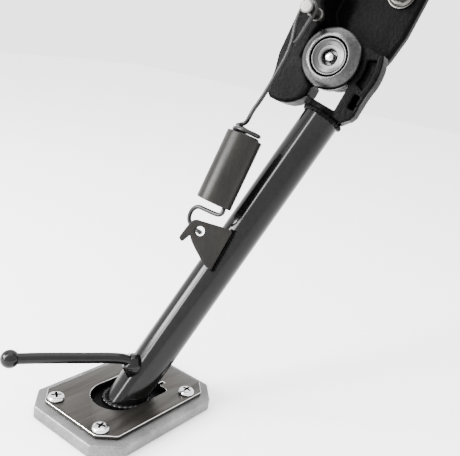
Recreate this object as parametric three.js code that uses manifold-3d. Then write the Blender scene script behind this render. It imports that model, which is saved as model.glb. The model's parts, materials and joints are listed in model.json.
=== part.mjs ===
// Motorcycle side stand with a bolt-on wide foot pad.
//
// Frame: the origin is the centre of the pad on the ground. +Z is up, +X runs along
// the pad towards the motorcycle, and +Y is the motorcycle's forward direction.
// Three more frames are used, each a Group:
//   swing  at the pivot: x to the rear, y up the leg, z out along the pivot axis
//   tube   on the leg tube's axis: z runs up the tube, x is the swing frame's x
//   spring on the coil's axis: z runs up to the anchor, x to the rear
// All lengths are millimetres.

import * as THREE from "three";
import { mergeVertices } from "three/addons/utils/BufferGeometryUtils.js";
import Module from "manifold-3d";

const wasm = await Module();
wasm.setup();

// ---------------------------------------------------------------- dimensions

const GAP = 0.3; // clearance between pieces that touch
const FAR = 400; // longer than the whole stand

// pivot axis and leg
const PIVOT = new THREE.Vector3(113.5, -60.9, 277.5);
const AXIS_RISE = 10; // the pivot axis climbs this much as it goes outward (degrees)
const AXIS_REAR = 6.6; // and turns this much to the rear
const LEG_RAKE = 16.7; // the leg leans forward in the swing plane
const LEG_SPLAY = 13.36; // the tube leans outward of the swing plane
const TUBE_OFFSET = 12.3; // the tube's axis passes behind the pivot by this much
const TUBE_DROP = 42; // the tube's axis crosses the swing plane this far below the pivot
const TUBE_R = 14.25;
const TUBE_WALL = 3;
const TUBE_TOP = 3.6; // above the tube frame's origin

// foot pad
const PAD_L = 125;
const PAD_W = 91;
const PAD_H = 10;
const PAD_CORNER = 15.5;
const PAD_EDGE = 1.8;
const PLATE_L = 111;
const PLATE_W = 76;
const PLATE_T = 3;
const PLATE_CORNER = 11.2;
const PLATE_TOP = PAD_H + GAP + PLATE_T;
const OPENING_R = 19.6; // rounded outer end of the opening, and half its width
const OPENING_X = -10.5; // centre of that round end
const OPENING_END = 25.5; // square inner end
const FOOT_RIM = 5; // how far the foot reaches under the top plate
const FOOT_FLOOR = 3; // thickness of the pad under the foot
const FOOT_TOP = 8; // the foot's upper face
const SCREW_SPOTS = [[-48, -24], [-48, 24], [34.5, -30.7], [34.5, 30.7]];
const SCREW_R = 3;
const SCREW_HEAD_R = 6.2;
const SCREW_HEAD_H = 3.3;

// leg head: a fork whose two cheeks hold the bracket's tongue
const CHEEK_OUT = [4, 9];
const CHEEK_IN = [-16, -9];
const EYE_R = 22.7;
const RIM_R = 38;
const RIM_T = 4.5;
const INNER_R = 30; // the head is narrower on the motorcycle's side
const STEP_Z = -2; // where it narrows
const RIM_END = 29; // degrees above the swing frame's x axis
const SLOT_R = 23.2;
const BOLT_R = 6;
const DOME_TOP = 18.2;
const SEAT_R = 14.2;
const SEAT_Z = 12;

// bracket
const TONGUE = [-7.2, 2.2];
const TONGUE_R = 20;
const BUSH_R = 9.2;
const SPINE = [-34, 5];
const BACK = [-34, -24];
const LOBE = [-16, 5];
const ANCHOR = new THREE.Vector3(-28.7, 22.2, 24);
const FRAME_BOLTS = [[-27, 65], [9, 65]];
const FRAME_BOLT_R = 5;
const FRAME_BOLT_HEX = 13;
const FRAME_WASHER_R = 10.5;
const FRAME_WASHER_T = 2;
const PIVOT_NUT_HEX = 19;
const PIVOT_WASHER_R = 12;
const THRUST_WASHER_R = 16;

// spring
const HOOK_HOLE = new THREE.Vector3(-5.6, -153, 50);
const COIL_SHIFT = 3; // the coil's axis starts this far in front of the anchor post
const WIRE_R = 1.6;
const COIL_R = 9.4;
const COIL_PITCH = 3.6;
const COIL_TURNS = 14;
const COIL_TOP = -96; // from the anchor, down the spring's axis
const SLEEVE = [-155, -101.5];
const SLEEVE_R = 13.5;
const SLEEVE_WALL = 1.3;

// spring hook plate, on a plane that lies across the tube's outer front side
const PLATE_TURN = 72; // degrees from the swing frame's x axis towards the outside
const HOOK_PLATE = [14.6, 18.4]; // distance of its two faces from the tube's axis

// kick lever
const LEVER_R = 4;
const BALL_R = 6.6;

// ------------------------------------------------------------------ materials

function material(color, roughness, metalness) {
  return new THREE.MeshStandardMaterial({ color, roughness, metalness });
}

const glossBlack = material(0x1b1b1c, 0.28, 0.35);
const castBlack = material(0x242424, 0.62, 0.3);
const satinBlack = material(0x3a3938, 0.42, 0.3);
const darkSteel = material(0x5c5c5d, 0.4, 0.9);
const brightSteel = material(0xc9c9ca, 0.2, 1);
const platedSteel = material(0xa8a69f, 0.35, 0.95);
const brushedSteel = material(0x8f8b86, 0.38, 1);
const aluminium = material(0xb9b8b6, 0.45, 1);
const bronze = material(0x9c7a45, 0.4, 0.9);

// -------------------------------------------------------------------- helpers

// A manifold solid from a geometry, with its shared vertices merged.
function solid(geometry) {
  const bare = new THREE.BufferGeometry();
  bare.setAttribute("position", geometry.getAttribute("position").clone());
  bare.setIndex(geometry.index ? geometry.index.clone() : null);
  const merged = mergeVertices(bare, 1e-4);
  const corners = merged.index.array;
  const triangles = [];
  for (let i = 0; i < corners.length; i += 3) {
    const [a, b, c] = [corners[i], corners[i + 1], corners[i + 2]];
    if (a !== b && b !== c && c !== a) triangles.push(a, b, c);
  }
  return new wasm.Manifold(new wasm.Mesh({
    numProp: 3,
    vertProperties: new Float32Array(merged.getAttribute("position").array),
    triVerts: new Uint32Array(triangles),
  }));
}

function geometryOf(manifold) {
  const mesh = manifold.getMesh();
  const geometry = new THREE.BufferGeometry();
  geometry.setAttribute("position", new THREE.BufferAttribute(new Float32Array(mesh.vertProperties), 3));
  geometry.setIndex(new THREE.BufferAttribute(new Uint32Array(mesh.triVerts), 1));
  geometry.computeVertexNormals();
  return geometry;
}

function cut(body, ...tools) {
  return tools.reduce((left, tool) => left.subtract(tool), body);
}

function join(first, ...others) {
  return others.reduce((whole, part) => whole.add(part), first);
}

// A flat outline as a closed shape, from [x, y] corners.
function outline(points) {
  return new THREE.Shape(points.map(([x, y]) => new THREE.Vector2(x, y)));
}

// An outline extruded from z0 to z1, with an optional small bevel on both faces.
function slab(shape, [z0, z1], bevel = 0, curveSegments = 12) {
  const geometry = new THREE.ExtrudeGeometry(shape, {
    depth: z1 - z0 - 2 * bevel,
    bevelEnabled: bevel > 0,
    bevelThickness: bevel,
    bevelSize: bevel,
    bevelOffset: -bevel,
    bevelSegments: 1,
    curveSegments,
  });
  geometry.translate(0, 0, z0 + bevel);
  return solid(geometry);
}

// A profile of [radius, z] pairs turned about the z axis. It starts and ends on the
// axis, with the lower end first, or closes on itself.
function turned(profile, segments = 32) {
  const points = profile.map(([r, z]) => new THREE.Vector2(r, z));
  const geometry = new THREE.LatheGeometry(points, segments);
  geometry.rotateX(Math.PI / 2);
  return solid(geometry);
}

function rod(radius, [z0, z1], segments = 32) {
  return turned([[0, z0], [radius, z0], [radius, z1], [0, z1]], segments);
}

function ring(inner, outer, [z0, z1], segments = 32) {
  const profile = [[inner, z0], [outer, z0], [outer, z1], [inner, z1], [inner, z0]];
  return turned(profile, segments);
}

function hexagon(acrossFlats) {
  const radius = acrossFlats / Math.sqrt(3);
  const corners = [];
  for (let i = 0; i < 6; i += 1) {
    const angle = (i * Math.PI) / 3;
    corners.push([radius * Math.cos(angle), radius * Math.sin(angle)]);
  }
  return outline(corners);
}

function box([x0, x1], [y0, y1], [z0, z1]) {
  return slab(outline([[x0, y0], [x1, y0], [x1, y1], [x0, y1]]), [z0, z1]);
}

// Round wire along a smooth curve through the points.
function wire(points, radius, steps, halfSides = 4) {
  const section = new THREE.Shape();
  section.absarc(0, 0, radius, 0, 2 * Math.PI);
  const path = new THREE.CatmullRomCurve3(points.map((p) => new THREE.Vector3(...p)), false, "centripetal");
  return solid(new THREE.ExtrudeGeometry(section, {
    steps,
    extrudePath: path,
    curveSegments: halfSides,
    bevelEnabled: false,
  }));
}

function placed(manifold, matrix) {
  const geometry = geometryOf(manifold);
  geometry.applyMatrix4(matrix);
  return solid(geometry);
}

function shifted(manifold, x, y, z) {
  return placed(manifold, new THREE.Matrix4().makeTranslation(x, y, z));
}

// A group whose z axis is zAxis and whose x axis is as near xAxis as it can be.
function frameAt(origin, xAxis, zAxis) {
  const z = zAxis.clone().normalize();
  const x = xAxis.clone().addScaledVector(z, -xAxis.dot(z)).normalize();
  const y = new THREE.Vector3().crossVectors(z, x);
  const group = new THREE.Group();
  group.position.copy(origin);
  group.quaternion.setFromRotationMatrix(new THREE.Matrix4().makeBasis(x, y, z));
  return group;
}

const radians = THREE.MathUtils.degToRad;

function polar(radius, degrees) {
  return [radius * Math.cos(radians(degrees)), radius * Math.sin(radians(degrees))];
}

function arc(radius, from, to, steps) {
  const points = [];
  for (let i = 0; i <= steps; i += 1) points.push(polar(radius, from + ((to - from) * i) / steps));
  return points;
}

// --------------------------------------------------------------------- frames

const side_stand = new THREE.Group();

function swingFrame() {
  const rise = radians(AXIS_RISE);
  const rear = radians(AXIS_REAR);
  const outward = new THREE.Vector3(
    -Math.cos(rise) * Math.cos(rear),
    -Math.cos(rise) * Math.sin(rear),
    Math.sin(rise),
  );
  const upright = new THREE.Vector3(0, 0, 1).addScaledVector(outward, -outward.z).normalize();
  const level = new THREE.Vector3().crossVectors(upright, outward);
  const rake = radians(LEG_RAKE);
  const rearward = level.multiplyScalar(Math.cos(rake)).addScaledVector(upright, -Math.sin(rake));
  return frameAt(PIVOT, rearward, outward);
}

const swing = swingFrame();
side_stand.add(swing);

const splay = radians(LEG_SPLAY);
const tubeUp = new THREE.Vector3(0, Math.cos(splay), -Math.sin(splay));
const tube = frameAt(new THREE.Vector3(TUBE_OFFSET, -TUBE_DROP, 0), new THREE.Vector3(1, 0, 0), tubeUp);
swing.add(tube);

// The hook plate's frame: x outward from the tube, y down the tube, z through the plate.
const turn = radians(PLATE_TURN);
const hookPlate = frameAt(
  new THREE.Vector3(),
  new THREE.Vector3(-Math.sin(turn), -Math.cos(turn), 0),
  new THREE.Vector3(Math.cos(turn), -Math.sin(turn), 0),
);
tube.add(hookPlate);

function springFrame() {
  const up = new THREE.Vector3().subVectors(ANCHOR, HOOK_HOLE).normalize();
  const rear = new THREE.Vector3(1, 0, 0);
  const across = rear.clone().addScaledVector(up, -rear.dot(up)).normalize();
  const top = ANCHOR.clone().addScaledVector(across, -COIL_SHIFT);
  return frameAt(top, rear, new THREE.Vector3().subVectors(top, HOOK_HOLE));
}

const spring = springFrame();
swing.add(spring);

side_stand.updateMatrixWorld(true);

// The matrix that takes one frame's coordinates to another's.
function between(from, to) {
  return to.matrixWorld.clone().invert().multiply(from.matrixWorld);
}

function addPart(parent, name, body, look) {
  const mesh = new THREE.Mesh(geometryOf(body), look);
  mesh.name = name;
  parent.add(mesh);
}

// ------------------------------------------------------------------- foot pad

function chamferedRectangle(length, width, corner) {
  const x = length / 2;
  const y = width / 2;
  return outline([
    [-x, -y + corner], [-x + corner, -y], [x - corner, -y], [x, -y + corner],
    [x, y - corner], [x - corner, y], [-x + corner, y], [-x, y - corner],
  ]);
}

// The opening's outline, or a larger copy of it: round at the outer end, square inside.
function openingShape(grow) {
  const r = OPENING_R + grow;
  const x = OPENING_END + grow;
  const fillet = 2 + grow / 2;
  const shape = new THREE.Shape();
  shape.moveTo(OPENING_X, -r);
  shape.lineTo(x - fillet, -r);
  shape.quadraticCurveTo(x, -r, x, -r + fillet);
  shape.lineTo(x, r - fillet);
  shape.quadraticCurveTo(x, r, x - fillet, r);
  shape.lineTo(OPENING_X, r);
  shape.absarc(OPENING_X, 0, r, Math.PI / 2, (3 * Math.PI) / 2);
  return shape;
}

function screwHoles(span) {
  return SCREW_SPOTS.map(([x, y]) => shifted(rod(SCREW_R + GAP, span, 16), x, y, 0));
}

// The cast pad, with a pocket that takes the foot.
function padBase() {
  const block = slab(chamferedRectangle(PAD_L, PAD_W, PAD_CORNER), [0, PAD_H], PAD_EDGE);
  const pocket = slab(openingShape(FOOT_RIM + GAP), [FOOT_FLOOR, FAR], 0, 10);
  return cut(block, pocket, ...screwHoles([1.5, FAR]));
}

// The plate over the foot, with its opening and a drain slit.
function padTopPlate() {
  const sheet = slab(chamferedRectangle(PLATE_L, PLATE_W, PLATE_CORNER), [PAD_H + GAP, PLATE_TOP], 0.5);
  const slit = box([OPENING_END - 1, OPENING_END + 6], [-10.6, -7.8], [0, FAR]);
  const opening = slab(openingShape(0), [0, FAR], 0, 10);
  return cut(sheet, opening, slit, ...screwHoles([0, FAR]));
}

// Pan head with a cross recess.
function padScrew() {
  const seat = PLATE_TOP + GAP;
  const top = seat + SCREW_HEAD_H;
  const body = turned([
    [0, 2], [SCREW_R - 0.6, 2], [SCREW_R, 3], [SCREW_R, seat], [SCREW_HEAD_R, seat],
    [SCREW_HEAD_R, seat + 1], [SCREW_HEAD_R - 0.9, top - 1], [SCREW_HEAD_R - 3, top - 0.2], [0, top],
  ], 24);
  const blade = box([-3.2, 3.2], [-0.8, 0.8], [top - 1.9, top + 1]);
  const crossBlade = box([-0.8, 0.8], [-3.2, 3.2], [top - 1.9, top + 1]);
  return cut(body, blade, crossBlade);
}

// The stand's own forged foot, clamped between the pad and its top plate.
function standFoot() {
  const plate = slab(openingShape(FOOT_RIM), [FOOT_FLOOR + GAP, PAD_H], 0.8, 10);
  const dish = slab(openingShape(0), [FOOT_TOP, FAR], 0, 10);
  return cut(plate, dish);
}

// ------------------------------------------------------------------- leg tube

// Everything below the height z, as a block in the tube's frame.
function belowHeight(z) {
  return placed(box([-FAR, FAR], [-FAR, FAR], [z - FAR, z]), between(side_stand, tube));
}

// A thick tube, cut level at the foot.
function legTube() {
  return cut(ring(TUBE_R - TUBE_WALL, TUBE_R, [-TUBE_DROP - 240, TUBE_TOP], 48), belowHeight(FOOT_TOP + GAP));
}

// A bead of weld round the tube at the foot, on the ellipse that the sloping tube makes.
function footWeld() {
  const bead = new THREE.TorusGeometry(TUBE_R + 0.7, 1.8, 6, 28);
  const toFoot = between(tube, side_stand);
  const down = new THREE.Vector3(0, 0, -1).transformDirection(toFoot);
  const origin = new THREE.Vector3().applyMatrix4(toFoot);
  const level = FOOT_TOP + GAP + 0.6;
  const spot = origin.clone().addScaledVector(down, (origin.z - level) / -down.z);
  bead.scale(1 / -down.z, 1, 1);
  bead.rotateZ(Math.atan2(down.y, down.x));
  bead.translate(spot.x, spot.y, level);
  const inTube = placed(solid(bead), between(side_stand, tube));
  return cut(inTube, rod(TUBE_R + GAP, [-FAR, FAR], 48), belowHeight(FOOT_TOP + GAP));
}

// A bead of weld round the tube where it meets the head.
function headWeld() {
  const bead = new THREE.TorusGeometry(TUBE_R + 0.6, 2.3, 6, 28);
  bead.translate(0, 0, TUBE_TOP - 1.5);
  return cut(solid(bead), rod(TUBE_R + GAP, [-FAR, FAR], 48), placed(headClearance(), between(swing, tube)));
}

// ------------------------------------------------------------------- leg head

// The head seen from outside: the eye, the arm behind it and the seat on the tube.
function headOutline(eye, back) {
  return outline([
    ...arc(eye, 60, 337, 30),
    [21, -9], [21, -33], [12, -33], [12, -46], [back - 12, -46], [back - 9.5, -39],
    [back - 6, -34.5], [back - 3, -31.5], [back - 1.6, -28], [back - 1.4, -14],
    ...arc(back, -12, RIM_END, 8), [back - 8, 18],
  ]);
}

// The head before its bores are cut. grow widens it, for cutting neighbours clear of it.
function headBlank(grow) {
  const outer = slab(headOutline(EYE_R, RIM_R), [STEP_Z, CHEEK_OUT[1] + grow]);
  const inner = slab(headOutline(EYE_R - 3, INNER_R), [CHEEK_IN[0] - grow, STEP_Z + 1]);
  const cap = placed(rod(TUBE_R + grow, [TUBE_TOP + GAP - grow, 11.5 + grow], 36), between(tube, swing));
  const belowCap = placed(rod(TUBE_R + 20, [-FAR, TUBE_TOP + GAP - grow], 24), between(tube, swing));
  const stopLug = box([-5.4 - grow, 4 + grow], [-37 - grow, -31.2 + grow], [-8 - grow, 4 + grow]);
  return join(cut(join(outer, inner), belowCap), cap, stopLug);
}

// The head with GAP added all round, for cutting the weld clear of it.
function headClearance() {
  const blank = headBlank(GAP);
  return join(blank, shifted(blank, GAP, -GAP, 0), shifted(blank, -GAP, -GAP, 0));
}

// Boss, fork cheeks, arm and the cap that sits on the tube.
function legHead() {
  const dome = turned([
    [0, 0], [EYE_R, 0], [EYE_R, 11.5], [EYE_R - 1, 14.2], [EYE_R - 3.4, 16.6], [EYE_R - 6, 17.8],
    [SEAT_R + 1, DOME_TOP], [SEAT_R, DOME_TOP - 0.4], [SEAT_R, SEAT_Z], [0, SEAT_Z],
  ], 44);
  const rimOutside = arc(RIM_R, -12, RIM_END, 8);
  const rimInside = arc(RIM_R - RIM_T, RIM_END, -30, 10);
  const rim = slab(outline([...rimOutside, ...rimInside, [RIM_R - 1.5, -21]]), [8, 10.6]);
  const forkSlot = slab(
    outline([...arc(SLOT_R, -98, 34, 16), ...arc(FAR, 34, 262, 8)]),
    [CHEEK_IN[1], CHEEK_OUT[0]],
  );
  const forkMouth = cut(forkSlot, box([-6, 30], [-FAR, -30.9], [-FAR, FAR]));
  const pocketOutside = arc(RIM_R - RIM_T, -16, 24, 8);
  const pocketInside = arc(EYE_R + 3.5, 24, -16, 6);
  const pocket = slab(outline([...pocketOutside, ...pocketInside]), [3.8, FAR]);
  const window = box([28.6, 33.8], [-24.5, -13.7], [-1, FAR]);
  const bore = rod(BOLT_R + GAP, [-FAR, FAR], 24);
  const seat = rod(SEAT_R, [SEAT_Z, FAR], 44);
  const gapCut = box([-30, 21], [-31.2, -EYE_R - 1], [-FAR, FAR]);
  const body = join(headBlank(0), dome, rim);
  return cut(body, forkMouth, pocket, window, bore, seat, gapCut);
}

// -------------------------------------------------------------------- bracket

// The casting bolted to the motorcycle: tongue, spine, lobe and back plate in one piece.
function pivotBracket() {
  const tongueBar = outline([
    ...arc(TONGUE_R, -80, 137, 30), [-30, 17], [-30, -30], [-12, -26],
  ]);
  const tongue = slab(tongueBar, TONGUE);
  const spine = slab(outline([
    [-44, 54], [-46, 12], [-44, -14], [-39, -30], [-24.5, -20], [-24.8, 0], [-25.2, 12],
    [-23.8, 18], [-24.2, 23], [-26.8, 27.2], [-31, 32], [-32, 54],
  ]), SPINE, 1.5);
  const lobe = slab(outline([
    [-43, -8], [-39.5, -31], [-38, -42], [-33, -46.5], [-24.8, -46], [-18, -43.8],
    [-13.3, -40.5], [-8.9, -35.8], [-6.2, -31], [-6.2, -24], [-20, -8],
  ]), LOBE, 1.5);
  const back = slab(outline([
    [-44, 76], [-44, -12], [-32, -21], [-24, -20], [-14, -18], [-4, -13], [6, -9], [16, -4],
    [22, 6], [26, 20], [28, 40], [26, 76],
  ]), BACK, 1.5);
  const eyeRoom = rod(EYE_R + 1.8, [-FAR, FAR], 48);
  const nutRoom = rod(15, [-FAR, FAR], 40);
  const shell = join(cut(join(spine, lobe), eyeRoom), cut(back, nutRoom));
  const bolts = FRAME_BOLTS.map(([x, y]) => shifted(rod(FRAME_BOLT_R + GAP, [-FAR, FAR], 24), x, y, 0));
  return cut(join(shell, tongue), rod(BUSH_R + GAP, [-FAR, 10], 32), ...bolts);
}

// Flanged hexagon bolt that holds the bracket to the motorcycle.
function frameBolt() {
  const seat = BACK[1] + FRAME_WASHER_T + 2 * GAP;
  const flange = turned([
    [0, BACK[0] - 14], [FRAME_BOLT_R - 1, BACK[0] - 14], [FRAME_BOLT_R, BACK[0] - 13],
    [FRAME_BOLT_R, seat], [9.6, seat], [9.6, seat + 1.2], [8, seat + 2.4], [0, seat + 2.4],
  ], 28);
  return join(flange, slab(hexagon(FRAME_BOLT_HEX), [seat + 1, seat + 9], 0.8));
}

// The post that the spring's upper end hooks over, with a groove for the wire.
function anchorPost() {
  const post = turned([
    [0, SPINE[1] + GAP], [5, SPINE[1] + GAP], [5, 9], [4, 10], [4, 19.4], [2.9, 20.6], [2.9, 27.2],
    [5, 28], [5, 29.6], [4.2, 30.4], [0, 30.4],
  ], 28);
  return shifted(post, ANCHOR.x, ANCHOR.y, 0);
}

// ----------------------------------------------------------------- pivot bolt

// The pivot bolt, whose wide head is sunk into the boss.
function pivotBolt() {
  const seat = SEAT_Z + GAP;
  const body = turned([
    [0, -31], [BOLT_R - 1, -31], [BOLT_R, -30], [BOLT_R, seat], [SEAT_R - 0.8, seat],
    [SEAT_R - 0.8, 17], [SEAT_R - 1.2, 17.4], [SEAT_R - 2, 17.3], [6.6, 16.2], [0, 16.2],
  ], 36);
  return cut(body, rod(5.6, [10, FAR], 32));
}

// The small round plug in the bolt's socket.
function boltPlug() {
  return turned([[0, 10.3], [3.5, 10.3], [3.5, 15.6], [2.9, 16.8], [1.8, 17.5], [0, 17.8]], 28);
}

function thrustWasher(span) {
  return ring(BOLT_R + GAP, THRUST_WASHER_R, span);
}

function pivotWasher() {
  return ring(BOLT_R + GAP, PIVOT_WASHER_R, [-18.3, CHEEK_IN[0] - GAP]);
}

function pivotNut() {
  return cut(slab(hexagon(PIVOT_NUT_HEX), [-28.3, -18.6], 1), rod(BOLT_R + GAP, [-FAR, FAR], 32));
}

// --------------------------------------------------------------------- spring

// The wound part of the spring, from the top down.
function coil() {
  const points = [];
  const perTurn = 9; // bends of the path in one turn
  for (let i = 0; i <= COIL_TURNS * perTurn; i += 1) {
    const angle = Math.PI + (2 * Math.PI * i) / perTurn;
    points.push([COIL_R * Math.cos(angle), COIL_R * Math.sin(angle), COIL_TOP - (COIL_PITCH * i) / perTurn]);
  }
  return wire(points, WIRE_R, COIL_TURNS * perTurn, 3);
}

// The long shank from the coil up to the anchor post, and its hook round the post.
function springShank() {
  return wire([
    [-6.8, 3.5, -92.4], [-4.4, 1.5, -89], [-3, 0, -82], [-0.8, 0, -71], [1.2, 0, -55], [2.6, 0, -38],
    [1.6, 0, -25], [-1.6, 0, -13], [-2.2, 0, -5], [-1.4, 0, 1.8], [3, 0, 5.4], [7.4, 0, 2],
    [8.2, -0.4, -4], [7.6, -1.2, -12], [6.8, -2.2, -22], [5.8, -3.4, -28],
  ], WIRE_R, 48, 3);
}

// The bottom hook: out of the sleeve, across to the front, behind the plate and through it.
function springHook() {
  return wire([
    [7.4, 2.4, -149.5], [8.6, 1, -152.6], [9.6, 0, -156], [9.8, 0, -158.8], [7.6, 0.2, -161],
    [3.5, 0.6, -161.7], [-3, 1, -162], [-10.6, 1.6, -162.5], [-14.4, 2.6, -165.6],
    [-15.7, 3.6, -170], [-15, 4.8, -174.4], [-11.6, 5.4, -177.6], [-7, 5.4, -178.9],
    [-3, 4.6, -179], [-0.6, 2.2, -178.8], [0.6, -0.8, -178.6], [1.3, -3.4, -178.4],
  ], WIRE_R, 44, 3);
}

// ----------------------------------------------------------- spring hook plate

const PLATE_EDGE = [
  [1.5, 137.6], [6.5, 137.6], [11.8, 135.4], [20, 131.4], [26.2, 127.8], [28.9, 125.2],
  [31, 133], [34.6, 131.6], [34.2, 120.5], [33.6, 116], [31.8, 113.4], [11.6, 106.6], [4.6, 105],
];

const PLATE_HOLE = [24.4, 118.8];
const HOOK_HOLE_R = 4.6;

// The small plate on the tube that holds the spring's lower hook.
function springHookPlate() {
  const plate = slab(outline(PLATE_EDGE), HOOK_PLATE, 0.4);
  const hole = shifted(rod(HOOK_HOLE_R, [-FAR, FAR], 28), ...PLATE_HOLE, 0);
  const clear = placed(rod(TUBE_R + GAP, [-FAR, FAR], 48), between(tube, hookPlate));
  return cut(plate, hole, clear);
}

function hookPlateWeld() {
  const bead = wire([[5, 104, 14.6], [3, 116, 15.2], [1.6, 128, 15.2], [0.8, 138, 14.6]], 2.3, 14, 3);
  const clear = placed(rod(TUBE_R + GAP, [-FAR, FAR], 48), between(tube, hookPlate));
  const plate = slab(outline(PLATE_EDGE), [HOOK_PLATE[0] - GAP, HOOK_PLATE[1] + GAP]);
  const grown = join(plate, shifted(plate, -GAP, 0, 0));
  return cut(bead, clear, grown);
}

// ----------------------------------------------------------------- kick lever

const LEVER_STEPS = 20;
const LEVER_BALL = [-76.4, 42.4, 46.8];
const LEVER_POINTS = [
  [-71.6, 39.2, 46.8], [-62, 32.6, 47], [-48, 23.2, 46.8], [-32, 12.4, 46.4], [-18, 3, 46],
  [-9.4, -2.4, 44.6], [-5.4, -4.6, 41.2], [-4.6, -5, 36.2],
];

// The lever is bent in the pad's frame and then brought into the tube's.
function inTubeFrame(body) {
  return placed(body, between(side_stand, tube));
}

function tubeClearance() {
  return rod(TUBE_R + GAP, [-FAR, FAR], 48);
}

function kickLeverRod() {
  return cut(inTubeFrame(wire(LEVER_POINTS, LEVER_R, LEVER_STEPS, 5)), tubeClearance());
}

function kickLeverBall() {
  const profile = [[0, -BALL_R]];
  for (let i = 1; i < 8; i += 1) {
    const angle = -Math.PI / 2 + (i * Math.PI) / 8;
    profile.push([BALL_R * Math.cos(angle), BALL_R * Math.sin(angle)]);
  }
  profile.push([0, BALL_R]);
  const ball = shifted(turned(profile, 16), ...LEVER_BALL);
  const rodRoom = inTubeFrame(wire(LEVER_POINTS, LEVER_R + GAP, LEVER_STEPS, 5));
  return cut(inTubeFrame(ball), rodRoom, leverEndCut());
}

// Clearance in front of the rod's flat end, inside the ball.
function leverEndCut() {
  const [x, y, z] = LEVER_POINTS[0];
  const [bx, by, bz] = LEVER_BALL;
  const reach = GAP / Math.hypot(bx - x, by - y, bz - z);
  const tip = [x + (bx - x) * reach, y + (by - y) * reach, z + (bz - z) * reach];
  return inTubeFrame(wire([tip, LEVER_POINTS[0], LEVER_POINTS[1]], LEVER_R + GAP, 8, 6));
}

const WELD_R = 8.2;
const WELD_HALF_HEIGHT = 10.5;
const WELD_CENTRE = [-2.6, -3.6, 38.6];

// The lump of weld that joins the lever to the tube.
function leverWeld() {
  const blob = new THREE.SphereGeometry(1, 16, 9);
  blob.scale(WELD_R, WELD_R, WELD_HALF_HEIGHT);
  blob.translate(...WELD_CENTRE);
  const grown = inTubeFrame(wire(LEVER_POINTS, LEVER_R + GAP, LEVER_STEPS, 5));
  const below = inTubeFrame(shifted(rod(LEVER_R + GAP, [-1, 1.2], 12), ...LEVER_POINTS.at(-1)));
  return cut(inTubeFrame(solid(blob)), tubeClearance(), grown, below);
}

// ------------------------------------------------------------------- assembly

addPart(side_stand, "pad_base", padBase(), aluminium);
addPart(side_stand, "pad_top_plate", padTopPlate(), brushedSteel);
SCREW_SPOTS.forEach(([x, y], i) => {
  const place = new THREE.Group();
  place.position.set(x, y, 0);
  place.rotation.z = radians(20 + 37 * i);
  side_stand.add(place);
  addPart(place, `pad_screw_${i + 1}`, padScrew(), brightSteel);
});
addPart(side_stand, "stand_foot", standFoot(), castBlack);

addPart(tube, "leg_tube", legTube(), glossBlack);
addPart(tube, "foot_weld", footWeld(), glossBlack);
addPart(tube, "head_weld", headWeld(), castBlack);
addPart(tube, "kick_lever_rod", kickLeverRod(), glossBlack);
addPart(tube, "kick_lever_ball", kickLeverBall(), glossBlack);
addPart(tube, "lever_weld", leverWeld(), glossBlack);
addPart(hookPlate, "spring_hook_plate", springHookPlate(), satinBlack);
addPart(hookPlate, "hook_plate_weld", hookPlateWeld(), castBlack);

addPart(swing, "leg_head", legHead(), castBlack);
addPart(swing, "pivot_bracket", pivotBracket(), castBlack);
addPart(swing, "pivot_bush", ring(BOLT_R + GAP, BUSH_R, TONGUE, 32), bronze);
addPart(swing, "thrust_washer_outer", thrustWasher([TONGUE[1] + GAP, CHEEK_OUT[0] - GAP]), bronze);
addPart(swing, "thrust_washer_inner", thrustWasher([CHEEK_IN[1] + GAP, TONGUE[0] - GAP]), bronze);
addPart(swing, "pivot_bolt", pivotBolt(), darkSteel);
addPart(swing, "bolt_plug", boltPlug(), brightSteel);
addPart(swing, "pivot_washer", pivotWasher(), platedSteel);
addPart(swing, "pivot_nut", pivotNut(), platedSteel);
addPart(swing, "anchor_post", anchorPost(), platedSteel);
FRAME_BOLTS.forEach(([x, y], i) => {
  const place = new THREE.Group();
  place.position.set(x, y, 0);
  swing.add(place);
  addPart(place, `frame_bolt_${i + 1}`, frameBolt(), platedSteel);
  const washer = ring(FRAME_BOLT_R + GAP, FRAME_WASHER_R, [BACK[1] + GAP, BACK[1] + FRAME_WASHER_T + GAP]);
  addPart(place, `frame_washer_${i + 1}`, washer, platedSteel);
});

addPart(spring, "spring_shank", springShank(), satinBlack);
addPart(spring, "spring_coil", coil(), satinBlack);
addPart(spring, "spring_sleeve", ring(SLEEVE_R - SLEEVE_WALL, SLEEVE_R, SLEEVE), satinBlack);
addPart(spring, "spring_hook", springHook(), satinBlack);

export default side_stand;
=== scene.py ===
# %% [markdown]
# # A motorcycle side stand
# The CAD part is loaded as a frame, and every cell below dresses one piece of it. The frame fixes
# where things are and how they turn; this script adds rounded edges, welds, threads and finishes.

import json
import math

import bmesh
import bpy
from mathutils import Matrix, Vector


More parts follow.
